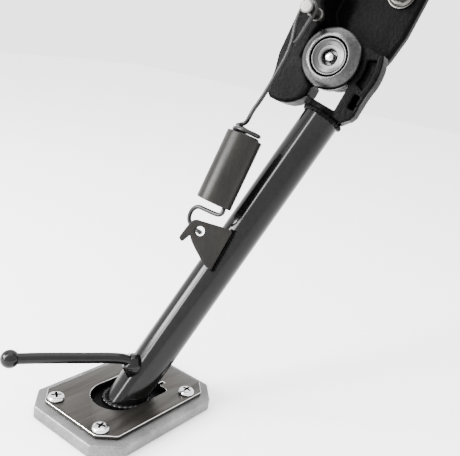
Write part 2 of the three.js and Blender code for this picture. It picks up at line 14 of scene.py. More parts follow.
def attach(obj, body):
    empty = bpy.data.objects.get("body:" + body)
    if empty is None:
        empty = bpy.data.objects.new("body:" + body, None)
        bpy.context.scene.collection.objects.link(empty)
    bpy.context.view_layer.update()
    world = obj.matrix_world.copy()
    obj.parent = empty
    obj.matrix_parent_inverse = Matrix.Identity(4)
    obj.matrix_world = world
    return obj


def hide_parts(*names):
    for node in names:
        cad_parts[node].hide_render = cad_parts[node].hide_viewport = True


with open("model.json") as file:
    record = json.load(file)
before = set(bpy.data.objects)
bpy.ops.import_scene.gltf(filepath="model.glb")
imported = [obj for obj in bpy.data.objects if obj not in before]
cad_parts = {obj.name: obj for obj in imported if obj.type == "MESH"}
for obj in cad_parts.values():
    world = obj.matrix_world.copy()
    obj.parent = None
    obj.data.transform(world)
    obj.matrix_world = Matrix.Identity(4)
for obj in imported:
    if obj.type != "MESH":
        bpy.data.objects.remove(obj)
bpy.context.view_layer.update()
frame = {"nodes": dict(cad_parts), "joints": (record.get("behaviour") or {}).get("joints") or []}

# %% [markdown]
# ## Working frames
# The leg is slanted twice, so it is hard to model in the ground's axes. The CAD used three helper
# frames, at the pivot, on the tube and on the spring. They are rebuilt here from the hinge that
# the frame records, and each piece is modelled upright in millimetres and then put in place.

# %% Working frames
MM = 0.001
LEG_RAKE = math.radians(16.7)
LEG_SPLAY = math.radians(13.36)
ANCHOR = Vector((-28.7, 22.2, 24))
HOOK_HOLE = Vector((-5.6, -153, 50))
COIL_SHIFT = 3


def axes(origin, x_axis, z_axis):
    """A matrix whose z is z_axis and whose x is as near x_axis as it can be."""
    z = Vector(z_axis).normalized()
    x = (Vector(x_axis) - z * Vector(x_axis).dot(z)).normalized()
    y = z.cross(x)
    turned = Matrix((x, y, z)).transposed().to_4x4()
    return Matrix.Translation(Vector(origin)) @ turned


hinge = next(j for j in frame["joints"] if j["name"] == "leg_swing")
outward = Vector(hinge["axis"]).normalized()
upright = (Vector((0, 0, 1)) - outward * outward.z).normalized()
level = upright.cross(outward)
rearward = level * math.cos(LEG_RAKE) - upright * math.sin(LEG_RAKE)
GROUND = Matrix.Scale(MM, 4)
SWING = GROUND @ axes(Vector(hinge["pos_m"]) / MM, rearward, outward)
TUBE = SWING @ axes((12.3, -42, 0), (1, 0, 0), (0, math.cos(LEG_SPLAY), -math.sin(LEG_SPLAY)))
plate_turn = math.radians(72)
HOOK_PLATE = TUBE @ axes(
    (0, 0, 0),
    (-math.sin(plate_turn), -math.cos(plate_turn), 0),
    (math.cos(plate_turn), -math.sin(plate_turn), 0),
)
along = (ANCHOR - HOOK_HOLE).normalized()
across = (Vector((1, 0, 0)) - along * along.x).normalized()
coil_top = ANCHOR - across * COIL_SHIFT
SPRING = SWING @ axes(coil_top, (1, 0, 0), coil_top - HOOK_HOLE)
print("pivot axis points", tuple(round(c, 3) for c in outward))

# %% [markdown]
# ## Shared surface effects
# Casting grain, worn edges and dust turn up on several finishes. Each is one node group with named
# inputs, so a finish only chooses the strength. A group could also be written out in each
# material, but then a change would have to be made many times.

# %% Shared surface effects
def shader_group(name, inputs, outputs):
    """An empty shader group with named float or vector inputs and float outputs."""
    tree = bpy.data.node_groups.new(name, "ShaderNodeTree")
    for label, value in inputs.items():
        kind = "NodeSocketVector" if value is None else "NodeSocketFloat"
        socket = tree.interface.new_socket(label, in_out="INPUT", socket_type=kind)
        if value is not None:
            socket.default_value = value
    for label in outputs:
        tree.interface.new_socket(label, in_out="OUTPUT", socket_type="NodeSocketFloat")
    return tree, tree.nodes.new("NodeGroupInput"), tree.nodes.new("NodeGroupOutput")


def put(tree, kind, sockets=None, **settings):
    """Adds a node, sets it up, and joins or fills its sockets, which go by name or number."""
    made = tree.nodes.new(kind)
    for key, value in settings.items():
        setattr(made, key, value)
    for key, value in (sockets or {}).items():
        if isinstance(value, bpy.types.NodeSocket):
            tree.links.new(value, made.inputs[key])
        else:
            made.inputs[key].default_value = value
    return made


def grain_group():
    tree, given, result = shader_group("surface_grain", {"Vector": None, "Scale": 900.0}, ["Tone", "Height"])
    fine = put(tree, "ShaderNodeTexNoise", {
        "Vector": given.outputs["Vector"], "Scale": given.outputs["Scale"], "Detail": 5.0, "Roughness": 0.62,
    })
    eighth = put(tree, "ShaderNodeMath", {0: given.outputs["Scale"], 1: 0.09}, operation="MULTIPLY")
    broad = put(tree, "ShaderNodeTexNoise", {
        "Vector": given.outputs["Vector"], "Scale": eighth.outputs[0], "Detail": 3.0,
    })
    both = put(tree, "ShaderNodeMath", {0: fine.outputs["Fac"], 1: broad.outputs["Fac"]}, operation="ADD")
    half = put(tree, "ShaderNodeMath", {0: both.outputs[0], 1: 0.5}, operation="MULTIPLY")
    tree.links.new(half.outputs[0], result.inputs["Tone"])
    tree.links.new(half.outputs[0], result.inputs["Height"])
    return tree


def wear_group():
    tree, given, result = shader_group("edge_wear", {"Vector": None, "Start": 0.52, "End": 0.62}, ["Mask"])
    shape = put(tree, "ShaderNodeNewGeometry")
    patchy = put(tree, "ShaderNodeTexNoise", {
        "Vector": given.outputs["Vector"], "Scale": 260.0, "Detail": 4.0,
    })
    edge = put(tree, "ShaderNodeMapRange", {
        "Value": shape.outputs["Pointiness"],
        "From Min": given.outputs["Start"], "From Max": given.outputs["End"],
    })
    worn = put(tree, "ShaderNodeMath", {0: edge.outputs[0], 1: patchy.outputs["Fac"]}, operation="MULTIPLY")
    tree.links.new(worn.outputs[0], result.inputs["Mask"])
    return tree


def dust_group():
    tree, given, result = shader_group("dust", {"Vector": None, "Amount": 0.2}, ["Mask"])
    shape = put(tree, "ShaderNodeNewGeometry")
    facing = put(tree, "ShaderNodeSeparateXYZ", {0: shape.outputs["Normal"]})
    upward = put(tree, "ShaderNodeMapRange", {"Value": facing.outputs["Z"], "From Min": 0.2, "From Max": 1.0})
    drift = put(tree, "ShaderNodeTexNoise", {"Vector": given.outputs["Vector"], "Scale": 70.0, "Detail": 6.0})
    lying = put(tree, "ShaderNodeMath", {0: upward.outputs[0], 1: drift.outputs["Fac"]}, operation="MULTIPLY")
    mask = put(tree, "ShaderNodeMath", {0: lying.outputs[0], 1: given.outputs["Amount"]},
               operation="MULTIPLY")
    tree.links.new(mask.outputs[0], result.inputs["Mask"])
    return tree


GRAIN, WEAR, DUST = grain_group(), wear_group(), dust_group()
print("shared groups:", GRAIN.name, WEAR.name, DUST.name)

# %% [markdown]
# ## Finishes
# One function mixes a dark and a light tone by the grain, bares the edges, lays dust on top and
# roughens the surface. Brushed steel is the same grain drawn out: the Mapping node squeezes the
# pattern along one direction, which is how abrasive belts mark a sheet.

# %% Finishes
def mix(tree, mask, first, second):
    made = put(tree, "ShaderNodeMix", data_type="RGBA")
    for socket, value in ((made.inputs[0], mask), (made.inputs[6], first), (made.inputs[7], second)):
        if isinstance(value, bpy.types.NodeSocket):
            tree.links.new(value, socket)
        else:
            socket.default_value = value
    return made.outputs[2]


def grey(level, warmth=0.0):
    return (level * (1 + warmth), level, level * (1 - warmth), 1.0)


def finish(name, dark, light, rough, metal=0.0, scale=900.0, bump=0.05, stretch=(1, 1, 1),
           bare=None, wear=0.0, dust=0.0, specular=0.5, uv=False):
    """A procedural material. rough is a pair: the roughness where the tone is dark and light."""
    made = bpy.data.materials.new(name)
    made.use_nodes = True
    tree = made.node_tree
    shader = tree.nodes["Principled BSDF"]
    place = put(tree, "ShaderNodeTexCoord")
    source = place.outputs["UV" if uv else "Object"]
    drawn = put(tree, "ShaderNodeMapping", {"Vector": source, "Scale": stretch})
    grain = put(tree, "ShaderNodeGroup", node_tree=GRAIN)
    grain.inputs["Scale"].default_value = scale
    tree.links.new(drawn.outputs[0], grain.inputs["Vector"])
    tone = put(tree, "ShaderNodeMapRange", {
        "Value": grain.outputs["Tone"], "From Min": 0.35, "From Max": 0.65,
    })
    colour = mix(tree, tone.outputs[0], dark, light)
    roughness = put(tree, "ShaderNodeMapRange", {
        "Value": tone.outputs[0], "To Min": rough[0], "To Max": rough[1],
    }).outputs[0]
    if wear:
        edges = put(tree, "ShaderNodeGroup", node_tree=WEAR)
        tree.links.new(place.outputs["Object"], edges.inputs["Vector"])
        mask = put(tree, "ShaderNodeMath", {0: edges.outputs["Mask"], 1: wear}, operation="MULTIPLY")
        colour = mix(tree, mask.outputs[0], colour, bare or grey(0.5))
    if dust:
        film = put(tree, "ShaderNodeGroup", node_tree=DUST)
        film.inputs["Amount"].default_value = dust
        tree.links.new(place.outputs["Object"], film.inputs["Vector"])
        colour = mix(tree, film.outputs["Mask"], colour, grey(0.42, 0.08))
    tree.links.new(colour, shader.inputs["Base Color"])
    tree.links.new(roughness, shader.inputs["Roughness"])
    relief = put(tree, "ShaderNodeBump", {
        "Height": grain.outputs["Height"], "Strength": 1.0, "Distance": bump * MM,
    })
    tree.links.new(relief.outputs[0], shader.inputs["Normal"])
    shader.inputs["Metallic"].default_value = metal
    shader.inputs["Specular IOR Level"].default_value = specular
    return made


LOOKS = {
    "cast_aluminium": finish("cast_aluminium", grey(0.07), grey(0.17), (0.56, 0.4), 0.65, 700, 0.35,
                             wear=0.3, bare=grey(0.8)),
    "brushed_stainless": finish("brushed_stainless", grey(0.018, 0.1), grey(0.052, 0.1), (0.38, 0.26), 0.9,
                                1500, 0.03, stretch=(0.03, 1, 1)),
    "bright_steel": finish("bright_steel", grey(0.5), grey(0.7), (0.26, 0.18), 1.0, 1400, 0.002),
    "cast_black": finish("cast_black", grey(0.0003), grey(0.002), (0.42, 0.26), 0.0, 420, 0.5,
                         dust=0.002, specular=0.02),
    "gloss_black": finish("gloss_black", grey(0.001), grey(0.004), (0.16, 0.1), 0.0, 300, 0.002,
                          dust=0.003, specular=0.18),
    "bronze": finish("bronze", (0.3, 0.17, 0.06, 1), (0.46, 0.29, 0.11, 1), (0.45, 0.3), 1.0, 900, 0.02),
    "dark_steel": finish("dark_steel", grey(0.012), grey(0.075), (0.36, 0.24), 1.0, 40, 0.02,
                         stretch=(0.3, 8, 1), uv=True),
    "plated_steel": finish("plated_steel", grey(0.05, 0.05), grey(0.11, 0.05), (0.42, 0.3), 0.95, 1200, 0.01),
    "spring_wire": finish("spring_wire", grey(0.002), grey(0.007), (0.34, 0.22), 0.0, 1100, 0.005,
                          specular=0.25),
    "sleeve_black": finish("sleeve_black", grey(0.003, 0.1), grey(0.01, 0.1), (0.42, 0.28), 0.0, 1300, 0.04,
                           stretch=(1, 1, 0.12), dust=0.003, specular=0.12),
}
GUNMETAL = finish("gunmetal", grey(0.025), grey(0.062), (0.34, 0.22), 1.0, 500, 0.05)
# A near-black finish for the screws' cross recesses: painted shade for the shadow inside each recess.
SOCKET_PAINTED_SHADE = finish("socket_dark", grey(0.002), grey(0.006), (0.7, 0.6), 0.0, 900, 0.01, specular=0.1)
# A much lighter metal for the top plate's slanted edge faces: a painted highlight for the line of light the
# broken edge catches.
PAINTED_HIGHLIGHT_EDGE = finish("polished_edge", grey(0.7), grey(0.9), (0.3, 0.2), 1.0, 1500, 0.002)
for node in frame["nodes"].values():
    node.data.materials.clear()
    node.data.materials.append(LOOKS["cast_black"])
print("finishes:", ", ".join(LOOKS))

# %% [markdown]
# ## Handing a piece over
# Every piece ends the same way: it goes to its place, gets smooth shading with crisp edges, rides
# the body it is bolted to and stands for the CAD pieces it covers. One helper keeps that order.

# %% Handing a piece over
SMOOTH_ANGLE = math.radians(32)
made_pieces = []


def is_slanted(face):
    return 0.2 < abs(face.normal.z) < 0.97


def hand_over(obj, matrix, body, look, *covered, skin=None, edge=None, where=is_slanted):
    """Places obj, finishes its mesh and hides the CAD pieces it stands for.
    skin is another material for the whole piece, and edge one for the faces that where picks."""
    slant = [edge is not None and where(face) for face in obj.data.polygons]
    obj.data.transform(matrix)
    obj.matrix_world = Matrix.Identity(4)
    obj.data.materials.clear()
    obj.data.materials.append(skin or LOOKS[look])
    if edge:
        obj.data.materials.append(edge)
    for face, slanted in zip(obj.data.polygons, slant):
        face.material_index = 1 if slanted else 0
    obj.data.shade_smooth()
    obj.data.set_sharp_from_angle(angle=SMOOTH_ANGLE)
    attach(obj, body)
    if covered:
        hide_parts(*covered)
    made_pieces.append(obj.name)
    print(f"{obj.name}: {len(obj.data.polygons)} faces, stands for {len(covered)} CAD pieces")
    return obj


def from_bmesh(name, bm):
    bmesh.ops.remove_doubles(bm, verts=bm.verts, dist=1e-5)
    bmesh.ops.recalc_face_normals(bm, faces=bm.faces)
    mesh = bpy.data.meshes.new(name)
    bm.to_mesh(mesh)
    bm.free()
    obj = bpy.data.objects.new(name, mesh)
    bpy.context.scene.collection.objects.link(obj)
    return obj


def applied(obj):
    """The plain mesh that obj's modifiers, or its curve, make. obj itself is then removed."""
    bpy.context.view_layer.update()
    graph = bpy.context.evaluated_depsgraph_get()
    mesh = bpy.data.meshes.new_from_object(obj.evaluated_get(graph))
    name = obj.name
    bpy.data.objects.remove(obj)
    fresh = bpy.data.objects.new(name, mesh)
    bpy.context.scene.collection.objects.link(fresh)
    return fresh


def merged(obj, distance=1e-5):
    bm = bmesh.new()
    bm.from_mesh(obj.data)
    bmesh.ops.remove_doubles(bm, verts=bm.verts, dist=distance)
    bmesh.ops.recalc_face_normals(bm, faces=bm.faces)
    bm.to_mesh(obj.data)
    bm.free()
    return obj


# %% [markdown]
# ## Turned pieces
# Bolt heads, bushes and sleeves are made on a lathe, so they are drawn as half a profile and swept
# round an axis. The sweep also lays out a UV map: one way round the axis, the other along the
# profile, which lets a brushed pattern run in circles as a lathe tool leaves it.

# %% Lathe
ROUND = 96


def lathe(name, profile, sides=ROUND):
    """Sweeps (radius, height) pairs round z. The profile starts and ends on the axis, or closes."""
    bm = bmesh.new()
    uv_layer = bm.loops.layers.uv.new("UVMap")
    run = [0.0]
    for (r0, z0), (r1, z1) in zip(profile, profile[1:]):
        run.append(run[-1] + math.hypot(r1 - r0, z1 - z0))
    rings = []
    for r, z in profile:
        count = 1 if r == 0 else sides
        rings.append([
            bm.verts.new((r * math.cos(2 * math.pi * k / sides), r * math.sin(2 * math.pi * k / sides), z))
            for k in range(count)
        ])
    for i, (low, high) in enumerate(zip(rings, rings[1:])):
        for k in range(sides):
            corners = [(low, k, i), (low, k + 1, i), (high, k + 1, i + 1), (high, k, i + 1)]
            if len(low) == 1:
                corners.pop(0)
            elif len(high) == 1:
                corners.pop(3)
            face = bm.faces.new([ring[j % len(ring)] for ring, j, _ in corners])
            for loop, (_, j, row) in zip(face.loops, corners):
                loop[uv_layer].uv = (j / sides, run[row] / 10)
    return from_bmesh(name, bm)


def rounded(corners, radius=0.5, steps=4):
    """A profile with each inner corner rounded off by up to radius."""
    points = [corners[0]]
    for before, here, after in zip(corners, corners[1:], corners[2:]):
        here_v, before_v, after_v = Vector(here), Vector(before), Vector(after)
        cut = min(radius, (before_v - here_v).length / 2.1, (after_v - here_v).length / 2.1)
        start = here_v + (before_v - here_v).normalized() * cut
        end = here_v + (after_v - here_v).normalized() * cut
        for k in range(steps + 1):
            t = k / steps
            point = start * (1 - t) ** 2 + here_v * 2 * t * (1 - t) + end * t * t
            points.append((max(point.x, 0.0), point.y))
    points.append(corners[-1])
    return points


print("lathe ready,", ROUND, "sides")

# %% [markdown]
# ## Flat plates
# The foot pad, its top plate and the spring's hook plate are cut from plate and have softly broken
# edges. A flat Blender curve fills its own holes and can round its edges, so a plate is a set of
# closed outlines with a depth. Modelling the same from a box would need several cuts.

# %% Plates
def plate(name, outlines, low, high, edge):
    """A plate from closed outlines, the holes among them, between two heights, with round edges."""
    curve = bpy.data.curves.new(name, "CURVE")
    curve.dimensions = "2D"
    curve.fill_mode = "BOTH"
    curve.extrude = (high - low) / 2 - edge
    curve.bevel_depth = edge
    curve.bevel_resolution = 3
    curve.offset = -edge
    for points in outlines:
        line = curve.splines.new("POLY")
        line.points.add(len(points) - 1)
        for point, (x, y) in zip(line.points, points):
            point.co = (x, y, 0, 1)
        line.use_cyclic_u = True
    obj = bpy.data.objects.new(name, curve)
    bpy.context.scene.collection.objects.link(obj)
    solid = applied(obj)
    solid.data.transform(Matrix.Translation((0, 0, (low + high) / 2)))
    return merged(solid, 1e-4)


def soft_corners(corners, radius, steps=5):
    """A closed outline with every corner rounded."""
    points = []
    for i, here in enumerate(corners):
        before, after = Vector(corners[i - 1]), Vector(corners[(i + 1) % len(corners)])
        here = Vector(here)
        cut = min(radius, (before - here).length / 2.2, (after - here).length / 2.2)
        start = here + (before - here).normalized() * cut
        end = here + (after - here).normalized() * cut
        for k in range(steps + 1):
            t = k / steps
            points.append(tuple(start * (1 - t) ** 2 + here * 2 * t * (1 - t) + end * t * t))
    return points


def circle(x, y, radius, sides=48):
    return [
        (x + radius * math.cos(2 * math.pi * k / sides), y + radius * math.sin(2 * math.pi * k / sides))
        for k in range(sides)
    ]


def chamfered(length, width, corner):
    x, y = length / 2, width / 2
    return [
        (-x, -y + corner), (-x + corner, -y), (x - corner, -y), (x, -y + corner),
        (x, y - corner), (x - corner, y), (-x + corner, y), (-x, y - corner),
    ]


def opening(grow):
    """The pad's opening: round at the outer end and square at the inner one."""
    centre, r, end = -10.5, 19.6 + grow, 25.5 + grow
    points = [(centre + r * math.cos(a), r * math.sin(a))
              for a in (math.pi / 2 + math.pi * k / 40 for k in range(41))]
    inner = soft_corners([(centre, -r), (end, -r), (end, r), (centre, r)], 3.5, 6)
    square = [p for p in inner if p[0] > centre + 2]
    return points + square


print("plates ready")

# %% [markdown]
# ## Foot pad
# The pad is a cast aluminium block bolted under the stand's own foot to widen it, so that the
# motorcycle can stand on soft ground. The pocket that takes the foot shows as a dark opening.

# %% Foot pad
SCREW_SPOTS = [(-48, -24), (-48, 24), (34.5, -30.7), (34.5, 30.7)]
PAD_H = 10
PLATE_BOTTOM, PLATE_TOP = 10.3, 13.3
block = plate("pad_casting", [soft_corners(chamfered(125, 91, 15.5), 1.6), opening(5.3)], 0, PAD_H, 1.3)
hand_over(block, GROUND, "leg", "cast_aluminium", "pad_base")
floor_plate = plate("pad_floor", [opening(5.6)], 0.2, 3, 0.3)
hand_over(floor_plate, GROUND, "leg", "cast_aluminium")

# %% [markdown]
# ## Top plate
# A brushed stainless plate covers the foot and clamps it. Its slit drains water. The plate's edge is only
# just broken, and its slanted faces get a far lighter metal, a painted highlight that draws the thin bright
# line.

# %% Top plate
SLIT_START, SLIT_END = 25.5, 31.5
SLIT_LOW, SLIT_HIGH = -10.6, -7.8
SQUARE_END = 25
SCREW_HOLE_R = 3.3


def notched_opening():
    """The opening with the drain slit cut into its square end."""
    points = opening(0)
    row = [p for p in points if not (p[0] > SQUARE_END and SLIT_LOW < p[1] < SLIT_HIGH)]
    spot = next(i for i, p in enumerate(row) if p[0] > SQUARE_END and p[1] > SLIT_HIGH)
    notch = [(SLIT_START, SLIT_LOW), (SLIT_END, SLIT_LOW), (SLIT_END, SLIT_HIGH), (SLIT_START, SLIT_HIGH)]
    return row[:spot] + notch + row[spot:]


holes = [circle(x, y, SCREW_HOLE_R) for x, y in SCREW_SPOTS]
cover = plate("pad_cover", [soft_corners(chamfered(111, 76, 11.2), 1.4), notched_opening()] + holes,
              PLATE_BOTTOM, PLATE_TOP, 0.45)
# The slanted edge faces get the painted highlight.
hand_over(cover, GROUND, "leg", "brushed_stainless", "pad_top_plate", edge=PAINTED_HIGHLIGHT_EDGE)

# %% [markdown]
# ## Foot
# Inside the opening lies the stand's own forged foot, painted black, with a raised rim.

# %% Foot
foot = plate("forged_foot", [opening(4.6)], 3.3, 8, 0.8)
hand_over(foot, GROUND, "leg", "cast_black", "stand_foot")
lip = plate("forged_foot_rim", [opening(4.6), opening(0.4)], 7.6, 9.9, 0.5)
hand_over(lip, GROUND, "leg", "cast_black")

# %% [markdown]
# ## Geometry node trees
# A tree is a recipe: it takes a simple path or some points, and its named inputs hold the sizes.
# The helper below starts a tree, fills a modifier by each input's identifier and turns the result
# into a plain mesh.

# %% Geometry node trees
def node_tree(name, sizes):
    tree = bpy.data.node_groups.new(name, "GeometryNodeTree")
    tree.is_modifier = True
    tree.interface.new_socket("Geometry", in_out="INPUT", socket_type="NodeSocketGeometry")
    for label, value in sizes.items():
        kind = "NodeSocketInt" if isinstance(value, int) else "NodeSocketFloat"
        tree.interface.new_socket(label, in_out="INPUT", socket_type=kind).default_value = value
    tree.interface.new_socket("Object", in_out="INPUT", socket_type="NodeSocketObject")
    tree.interface.new_socket("Material", in_out="INPUT", socket_type="NodeSocketMaterial")
    tree.interface.new_socket("Geometry", in_out="OUTPUT", socket_type="NodeSocketGeometry")
    return tree, tree.nodes.new("NodeGroupInput").outputs


def close_tree(tree, given, shape):
    whole = put(tree, "GeometryNodeRealizeInstances", {"Geometry": shape})
    painted = put(tree, "GeometryNodeSetMaterial", {
        "Geometry": whole.outputs[0], "Material": given["Material"],
    })
    put(tree, "NodeGroupOutput", {"Geometry": painted.outputs[0]})
    return tree


def path_object(name, points, closed=False):
    mesh = bpy.data.meshes.new(name)
    edges = [(i, i + 1) for i in range(len(points) - 1)]
    if closed:
        edges.append((len(points) - 1, 0))
    mesh.from_pydata([tuple(p) for p in points], edges, [])
    obj = bpy.data.objects.new(name, mesh)
    bpy.context.scene.collection.objects.link(obj)
    return obj


def grow(obj, tree, look, **values):
    """Runs a tree on obj with these inputs and returns the plain mesh."""
    modifier = obj.modifiers.new("recipe", "NODES")
    modifier.node_group = tree
    values = {**values, "Material": LOOKS[look]}
    for item in tree.interface.items_tree:
        if item.in_out == "INPUT" and item.name in values:
            modifier[item.identifier] = values[item.name]
    return merged(applied(obj), 1e-5)


print("tree helpers ready")

# %% [markdown]
# ## Screws
# Four pan-head screws with a cross recess hold the plate; the recesses are painted near black as shade. One
# screw is turned and cut, and a tree sets a copy on each point with its own turn, as real screws never line
# up.

# %% One screw
def carved(obj, *cutters):
    for cutter in cutters:
        cut = obj.modifiers.new("cut", "BOOLEAN")
        cut.operation = "DIFFERENCE"
        cut.solver = "EXACT"
        cut.object = cutter
    result = applied(obj)
    for cutter in cutters:
        bpy.data.objects.remove(cutter)
    return result


def block_between(name, low, high, taper=1.0):
    """A box whose lower face is narrowed by taper."""
    bm = bmesh.new()
    bmesh.ops.create_cube(bm, size=1)
    middle = (Vector(low) + Vector(high)) / 2
    size = Vector(high) - Vector(low)
    for v in bm.verts:
        shrink = taper if v.co.z < 0 else 1.0
        v.co = middle + Vector((v.co.x * size.x * shrink, v.co.y * size.y * shrink, v.co.z * size.z))
    return from_bmesh(name, bm)


seat = PLATE_TOP + 0.3
top = seat + 3.3
head = [(0, 2.2), (2.4, 2.2), (3, 3), (3, seat), (6.2, seat), (6.2, seat + 0.9), (5.5, top - 1.1),
        (4, top - 0.35), (2, top - 0.08), (0, top)]
screw = lathe("screw", rounded(head, 0.5), 48)
screw = carved(
    screw,
    block_between("blade_a", (-4.3, -1.05, top - 2.9), (4.3, 1.05, top + 1), 0.6),
    block_between("blade_b", (-1.05, -4.3, top - 2.9), (1.05, 4.3, top + 1), 0.6),
)
print("one screw:", len(screw.data.polygons), "faces")

# %% Screws on their points
def scatter_tree():
    tree, given = node_tree("set_on_points", {"Turn": 0.0, "Turn step": 0.6})
    shape = put(tree, "GeometryNodeObjectInfo", {"Object": given["Object"]})
    number = put(tree, "GeometryNodeInputIndex")
    step = put(tree, "ShaderNodeMath", {0: number.outputs[0], 1: given["Turn step"]}, operation="MULTIPLY")
    turn = put(tree, "ShaderNodeMath", {0: step.outputs[0], 1: given["Turn"]}, operation="ADD")
    spin = put(tree, "ShaderNodeCombineXYZ", {"Z": turn.outputs[0]})
    copies = put(tree, "GeometryNodeInstanceOnPoints", {
        "Points": given["Geometry"], "Instance": shape.outputs["Geometry"], "Rotation": spin.outputs[0],
    })
    return close_tree(tree, given, copies.outputs[0])


SCATTER = scatter_tree()
spots = path_object("pad_screws", [(x, y, 0) for x, y in SCREW_SPOTS])
screws = grow(spots, SCATTER, "bright_steel", **{
    "Object": screw, "Turn": math.radians(20), "Turn step": math.radians(37),
})
bpy.data.objects.remove(screw)


def in_recess(face):
    """The cross recess, which gets the painted shade: below the head's skin, near one of the screws' axes."""
    near = min(math.hypot(face.center.x - x, face.center.y - y) for x, y in SCREW_SPOTS)
    below_skin = top - 3.2 < face.center.z < top - 0.4
    on_skin = face.normal.z > 0.5 and face.center.z > top - 1.2
    return near < 4.2 and below_skin and not on_skin


# The recess faces get the painted shade.
hand_over(screws, GROUND, "leg", "bright_steel", *[f"pad_screw_{i}" for i in range(1, 5)],
          edge=SOCKET_PAINTED_SHADE, where=in_recess)

# %% [markdown]
# ## Leg tube
# The leg is a thick steel tube in gloss black. It is swept as one long ring and then cut off level
# with the foot, so that its end is the slanted oval that a saw would leave.

# %% Leg tube
TUBE_R, TUBE_TOP, FOOT_LEVEL = 14.25, 3.6, 8.3
wall = [(11.25, -300), (TUBE_R, -300), (TUBE_R, TUBE_TOP - 0.4), (TUBE_R - 0.4, TUBE_TOP),
        (11.25, TUBE_TOP), (11.25, -300)]
leg = lathe("leg_pipe", wall, 160)
leg.data.transform(TUBE)
bm = bmesh.new()
bm.from_mesh(leg.data)
bmesh.ops.remove_doubles(bm, verts=bm.verts, dist=1e-8)
sliced = bmesh.ops.bisect_plane(
    bm, geom=bm.verts[:] + bm.edges[:] + bm.faces[:], plane_co=(0, 0, FOOT_LEVEL * MM),
    plane_no=(0, 0, 1), clear_inner=True,
)
rim = [e for e in sliced["geom_cut"] if isinstance(e, bmesh.types.BMEdge)]
bmesh.ops.bridge_loops(bm, edges=rim)
bmesh.ops.recalc_face_normals(bm, faces=bm.faces)
bm.to_mesh(leg.data)
bm.free()
hand_over(leg, Matrix.Identity(4), "leg", "gloss_black", "leg_tube")

# %% [markdown]
# ## Bent wire and rod
# The spring's ends and the kick lever are bent rod. A tree smooths a few bend points into a curve
# and sweeps a circle along it, so each rod is only a list of points and a radius.

# %% Bent rod tree
def rod_tree():
    tree, given = node_tree("bent_rod", {"Radius": 1.6, "Steps": 200, "Sides": 20})
    path = put(tree, "GeometryNodeMeshToCurve", {"Mesh": given["Geometry"]})
    smooth = put(tree, "GeometryNodeCurveSplineType", {"Curve": path.outputs[0]}, spline_type="CATMULL_ROM")
    fine = put(tree, "GeometryNodeSetSplineResolution", {"Geometry": smooth.outputs[0], "Resolution": 24})
    even = put(tree, "GeometryNodeResampleCurve", {"Curve": fine.outputs[0], "Count": given["Steps"]})
    section = put(tree, "GeometryNodeCurvePrimitiveCircle", {
        "Resolution": given["Sides"], "Radius": given["Radius"],
    })
    swept = put(tree, "GeometryNodeCurveToMesh", {
        "Curve": even.outputs[0], "Profile Curve": section.outputs[0], "Fill Caps": True,
    })
    return close_tree(tree, given, swept.outputs[0])


ROD = rod_tree()
WIRE_R = 1.6
SHANK = [
    (-9.4, 0, -96), (-9.1, 2.4, -94.9), (-7.6, 4, -93.2), (-5.6, 3.4, -91), (-4.2, 1.6, -88),
    (-3, 0, -82), (-0.8, 0, -71), (1.2, 0, -55), (2.6, 0, -38),
    (1.6, 0, -25), (-1.6, 0, -13), (-2.2, 0, -5), (-1.4, 0, 1.8), (3, 0, 5.4), (7.4, 0, 2),
    (8.2, -0.4, -4), (7.6, -1.2, -12), (6.8, -2.2, -22), (5.8, -3.4, -28),
]
shank = grow(path_object("spring_top_wire", SHANK), ROD, "spring_wire", Radius=WIRE_R, Steps=240, Sides=20)
hand_over(shank, SPRING, "spring_upper", "spring_wire", "spring_shank")

# %% Bottom hook
HOOK = [
    (7.4, 2.4, -149.5), (8.6, 1, -152.6), (9.6, 0, -156), (9.8, 0, -158.8), (7.6, 0.2, -161),
    (3.5, 0.6, -161.7), (-3, 1, -162), (-10.6, 1.6, -162.5), (-14.4, 2.6, -165.6), (-15.7, 3.6, -170),
    (-15, 4.8, -174.4), (-11.6, 5.4, -177.6), (-7, 5.4, -178.9), (-3, 4.6, -179), (-0.6, 2.2, -178.8),
    (0.6, -0.8, -178.6), (1.3, -3.4, -178.4),
]
hook = grow(path_object("spring_bottom_wire", HOOK), ROD, "spring_wire", Radius=WIRE_R, Steps=200, Sides=20)
hand_over(hook, SPRING, "spring_lower", "spring_wire", "spring_hook")

# %% [markdown]
# ## Coil
# A coil is a rule: so many turns, so far apart, on one radius. The tree draws a spiral from those
# named sizes and sweeps the wire along it. Only the top turns show above the sleeve.

# %% Coil
def coil_tree():
    tree, given = node_tree("coil", {"Turns": 14.0, "Pitch": 3.6, "Coil radius": 9.4, "Wire radius": 1.6})
    height = put(tree, "ShaderNodeMath", {0: given["Turns"], 1: given["Pitch"]}, operation="MULTIPLY")
    spiral = put(tree, "GeometryNodeCurveSpiral", {
        "Resolution": 48, "Rotations": given["Turns"], "Start Radius": given["Coil radius"],
        "End Radius": given["Coil radius"], "Height": height.outputs[0], "Reverse": True,
    })
    section = put(tree, "GeometryNodeCurvePrimitiveCircle", {
        "Resolution": 14, "Radius": given["Wire radius"],
    })
    swept = put(tree, "GeometryNodeCurveToMesh", {
        "Curve": spiral.outputs[0], "Profile Curve": section.outputs[0], "Fill Caps": True,
    })
    return close_tree(tree, given, swept.outputs[0])


COIL_TURNS, COIL_PITCH, COIL_TOP = 14.0, 3.6, -96
coil = grow(path_object("spring_winding", [(0, 0, 0)]), coil_tree(), "spring_wire", **{
    "Turns": COIL_TURNS, "Pitch": COIL_PITCH, "Coil radius": 9.4, "Wire radius": WIRE_R,
})
coil_place = Matrix.Translation((0, 0, COIL_TOP - COIL_TURNS * COIL_PITCH)) @ Matrix.Rotation(math.pi, 4, "Z")
hand_over(coil, SPRING @ coil_place, "spring_upper", "spring_wire", "spring_coil")

